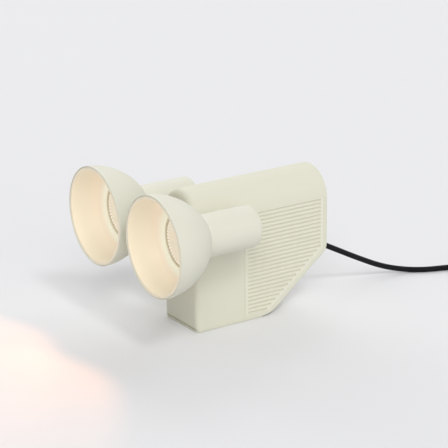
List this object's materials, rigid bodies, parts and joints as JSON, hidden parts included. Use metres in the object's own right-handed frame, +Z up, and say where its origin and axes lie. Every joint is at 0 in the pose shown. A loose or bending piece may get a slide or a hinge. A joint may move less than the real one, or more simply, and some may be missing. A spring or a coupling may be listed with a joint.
{
  "type": "spotlight table lamp",
  "caption": "Table lamp with bowl-shaped spot heads tilting on a ribbed, chamfered casing, with a cord, in-line rocker switch and flat plug.",
  "frame": {"origin": "under the middle of the lamp on the surface it stands on, halfway from the bowls' rims to the casing's rear face, on the plane between the two heads", "axes": "+X to the right-hand head as seen from in front of the bowls, -Y the way the bowls face, +Z up"},
  "size_m": [0.2764, 0.4783, 0.1491],
  "materials": {
    "casing_paint": "fine matt powder coat, pale cream",
    "bowl_enamel": "satin cream enamel",
    "plated_steel": "zinc plated",
    "foot_rubber": "matt",
    "inner_plastic": "moulded",
    "black_plastic": "moulded, fine matt",
    "bush_plastic": "self-lubricating, natural",
    "cord_textile": "woven textile sleeve",
    "pin_metal": "nickel plated",
    "lamp_body": "mirror coated glass",
    "lamp_glass": "frosted and lit",
    "lamp_ceramic": "unglazed ceramic look",
    "lead_sleeve": "silicone sleeve"
  },
  "bodies": {
    "casing": {"casing": "casing_paint", "base_plate": "plated_steel", "base_screws": "plated_steel", "rubber_feet": "foot_rubber", "terminal_block": "inner_plastic", "cord_end": "cord_textile", "cord_gland": "black_plastic", "gland_nut": "black_plastic", "right_pivot_bush": "bush_plastic", "right_casing_lead": "lead_sleeve", "left_pivot_bush": "bush_plastic", "left_casing_lead": "lead_sleeve", "power_cord": "cord_textile", "cord_tail": "cord_textile", "cord_coil": "cord_textile", "switch_base": "black_plastic", "switch_cover": "black_plastic", "plug_body": "black_plastic", "plug_pins": "pin_metal"},
    "right_head": {"right_head_shell": "casing_paint", "right_liner": "bowl_enamel", "right_lamp_reflector": "lamp_body", "right_lamp_lens": "lamp_glass", "right_lamp_cap": "lamp_ceramic", "right_lamp_pins": "pin_metal", "right_lamp_holder": "lamp_ceramic", "right_holder_bracket": "plated_steel", "right_bracket_screws": "plated_steel", "right_head_lead": "lead_sleeve", "right_pivot_axle": "plated_steel", "right_pivot_washer": "plated_steel", "right_pivot_spring": "plated_steel", "right_pivot_nut": "plated_steel"},
    "left_head": {"left_head_shell": "casing_paint", "left_liner": "bowl_enamel", "left_lamp_reflector": "lamp_body", "left_lamp_lens": "lamp_glass", "left_lamp_cap": "lamp_ceramic", "left_lamp_pins": "pin_metal", "left_lamp_holder": "lamp_ceramic", "left_holder_bracket": "plated_steel", "left_bracket_screws": "plated_steel", "left_head_lead": "lead_sleeve", "left_pivot_axle": "plated_steel", "left_pivot_washer": "plated_steel", "left_pivot_spring": "plated_steel", "left_pivot_nut": "plated_steel"},
    "switch_rocker": {"switch_rocker": "black_plastic"}
  },
  "joints": [
    {"name": "right_head_tilt", "type": "hinge", "parent": "casing", "child": "right_head", "pos_m": [0.0517, -0.01775, 0.1025], "axis": [-1, 0, 0], "range_deg": [-38, 138]},
    {"name": "left_head_tilt", "type": "hinge", "parent": "casing", "child": "left_head", "pos_m": [-0.0517, -0.01775, 0.1025], "axis": [-1, 0, 0], "range_deg": [-38, 138]},
    {"name": "switch_rocker_tilt", "type": "hinge", "parent": "casing", "child": "switch_rocker", "pos_m": [0.0637, 0.30605, 0.012], "axis": [-0.824, 0.5665, 0], "range_deg": [0, 16]}
  ]
}
